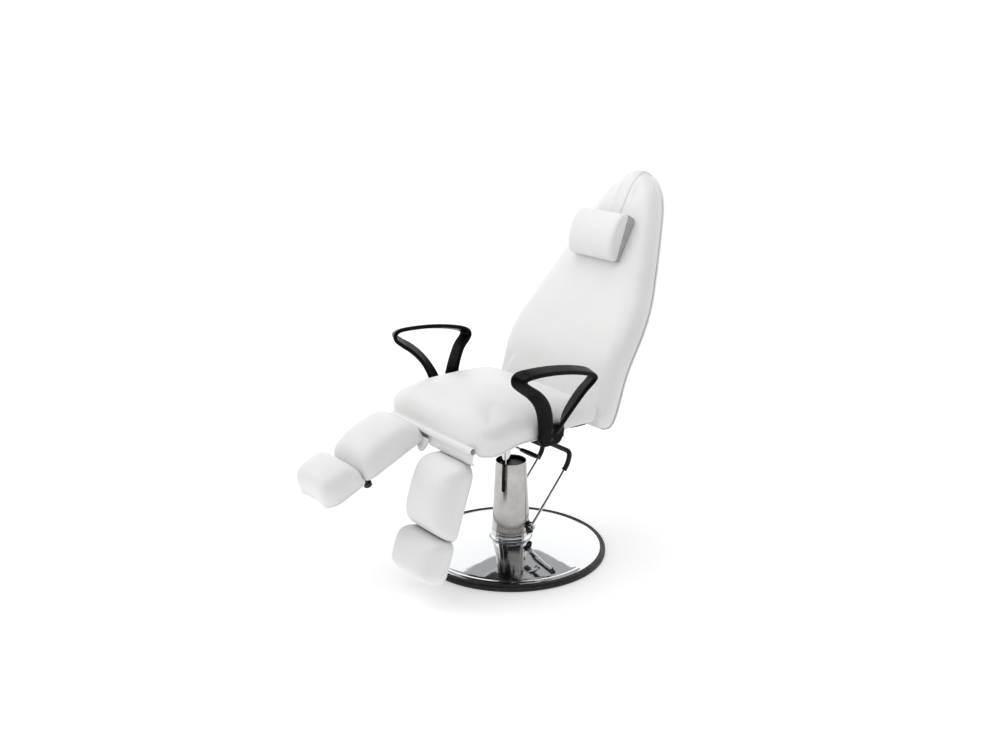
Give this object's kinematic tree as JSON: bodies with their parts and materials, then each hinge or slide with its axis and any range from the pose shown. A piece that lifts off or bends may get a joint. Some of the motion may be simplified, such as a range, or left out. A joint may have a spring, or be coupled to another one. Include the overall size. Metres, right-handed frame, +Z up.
{
  "type": "pedicure chair",
  "caption": "Hydraulic pedicure spa chair with a split leg rest, looped armrests and a reclining back with a head pillow, on a round pedestal base with a foot pump.",
  "frame": {"origin": "centre of the round base, on the floor", "axes": "+Z up, the chair faces -Y, +X is the sitter's left"},
  "size_m": [0.6636, 1.2265, 1.1782],
  "materials": {
    "black_rubber": "moulded black rubber, satin",
    "chromed_steel": "bright chrome plate",
    "brushed_shroud": "circumferentially brushed stainless steel",
    "zinc_steel": "zinc plated steel",
    "cast_iron": "rough cast iron, painted black",
    "black_steel": "black powder coat",
    "stained_plywood": "plywood, stained black",
    "white_upholstery": "white vinyl over foam",
    "white_vinyl": "white vinyl sheet, fine grain",
    "grey_foam": "firm grey foam",
    "black_arm_plastic": "moulded black plastic, satin",
    "black_plastic": "moulded black plastic"
  },
  "bodies": {
    "base": {"base_ring": "black_rubber", "base_dome": "chromed_steel", "base_weight": "cast_iron", "base_bolts": "zinc_steel", "pump_body": "cast_iron", "pump_head": "black_steel", "wiper_seal": "black_rubber", "pump_shroud": "brushed_shroud", "pump_skirt": "chromed_steel"},
    "ram": {"ram": "chromed_steel", "ram_piston": "zinc_steel"},
    "plunger": {"pump_plunger": "zinc_steel"},
    "pump_lever": {"lever_shaft": "zinc_steel", "lever_bar": "chromed_steel", "lever_sleeve": "black_rubber", "lever_bolts": "chromed_steel"},
    "seat": {"swivel_hub": "black_steel", "seat_rails": "black_steel", "seat_cross_tubes": "black_steel", "rail_caps": "black_plastic", "seat_board": "stained_plywood", "seat_cushion": "white_upholstery", "arm_brackets": "black_steel", "armrest_left": "black_arm_plastic", "armrest_right": "black_arm_plastic", "frame_bolts": "black_steel", "hinge_ears": "black_steel", "recline_pins": "zinc_steel", "leg_axle": "zinc_steel", "axle_brackets": "black_steel", "strut_bracket": "black_steel", "release_bracket": "black_steel"},
    "release_lever": {"release_rod": "chromed_steel", "release_grip": "black_plastic"},
    "strut_cylinder": {"gas_cylinder": "black_steel"},
    "strut_rod": {"gas_rod": "chromed_steel"},
    "back": {"back_frame": "black_steel", "back_board": "stained_plywood", "back_cushion": "white_upholstery", "back_cover": "white_vinyl", "back_bolts": "zinc_steel", "headrest_strap": "white_vinyl"},
    "pillow": {"head_pillow": "white_upholstery", "pillow_base": "grey_foam"},
    "leg_left": {"leg_frame_left": "black_steel", "calf_board_left": "stained_plywood", "calf_pad_left": "white_upholstery", "hinge_cover_left": "white_vinyl"},
    "knob_left": {"clamp_knob_left": "black_plastic"},
    "foot_left": {"foot_slider_left": "chromed_steel", "foot_board_left": "stained_plywood", "foot_pad_left": "white_upholstery"},
    "leg_right": {"leg_frame_right": "black_steel", "calf_board_right": "stained_plywood", "calf_pad_right": "white_upholstery", "hinge_cover_right": "white_vinyl"},
    "knob_right": {"clamp_knob_right": "black_plastic"},
    "foot_right": {"foot_slider_right": "chromed_steel", "foot_board_right": "stained_plywood", "foot_pad_right": "white_upholstery"}
  },
  "joints": [
    {"name": "lift", "type": "slide", "parent": "base", "child": "ram", "axis": [0, 0, 1], "range_m": [0, 0.15]},
    {"name": "swivel", "type": "hinge", "parent": "ram", "child": "seat", "pos_m": [0, -0.018, 0.39], "axis": [0, 0, 1], "continuous": true},
    {"name": "pump_lever", "type": "hinge", "parent": "base", "child": "pump_lever", "pos_m": [0, 0.03, 0.092], "axis": [1, 0, 0], "range_deg": [-25, 0], "stiffness_Nm_per_rad": 4, "springref_deg": 28.65},
    {"name": "plunger_slide", "type": "slide", "parent": "base", "child": "plunger", "axis": [0, 0, 1], "range_m": [0, 0.007]},
    {"name": "release", "type": "hinge", "parent": "seat", "child": "release_lever", "pos_m": [0.08, -0.06, 0.387], "axis": [0, -1, 0], "range_deg": [0, 15], "stiffness_Nm_per_rad": 0.8, "springref_deg": -17.19},
    {"name": "recline", "type": "hinge", "parent": "seat", "child": "back", "pos_m": [0, 0.195, 0.424], "axis": [-1, 0, 0], "range_deg": [0, 58]},
    {"name": "strut_swing", "type": "hinge", "parent": "seat", "child": "strut_cylinder", "pos_m": [-0.06, -0.07, 0.405], "axis": [1, 0, 0], "range_deg": [-2, 1]},
    {"name": "strut_extend", "type": "slide", "parent": "strut_cylinder", "child": "strut_rod", "axis": [0, 0.9975, -0.0708], "range_m": [-0.045, 0]},
    {"name": "pillow_slide", "type": "slide", "parent": "back", "child": "pillow", "axis": [0, 0.4695, 0.8829], "range_m": [-0.05, 0.04]},
    {"name": "leg_left", "type": "hinge", "parent": "seat", "child": "leg_left", "pos_m": [0.105, -0.253, 0.449], "axis": [-1, 0, 0], "range_deg": [-9, 71]},
    {"name": "leg_right", "type": "hinge", "parent": "seat", "child": "leg_right", "pos_m": [-0.105, -0.253, 0.449], "axis": [-1, 0, 0], "range_deg": [-55.5, 24.5]},
    {"name": "foot_left", "type": "slide", "parent": "leg_left", "child": "foot_left", "axis": [0, -0.3256, -0.9455], "range_m": [0, 0.06]},
    {"name": "foot_right", "type": "slide", "parent": "leg_right", "child": "foot_right", "axis": [0, -0.91, -0.4147], "range_m": [0, 0.06]},
    {"name": "knob_left", "type": "hinge", "parent": "leg_left", "child": "knob_left", "pos_m": [0.06, -0.32663, 0.19831], "axis": [0, 0.9455, -0.3256], "range_deg": [0, 360]},
    {"name": "knob_right", "type": "hinge", "parent": "leg_right", "child": "knob_right", "pos_m": [-0.06, -0.48552, 0.32985], "axis": [0, 0.4147, -0.91], "range_deg": [0, 360]}
  ],
  "couplings": [
    {"joint": "plunger_slide", "follows": "pump_lever", "m_per_rad": -0.0144},
    {"joint": "strut_swing", "follows": "recline", "ratio": -0.0125},
    {"joint": "strut_extend", "follows": "recline", "m_per_rad": -0.04293}
  ]
}
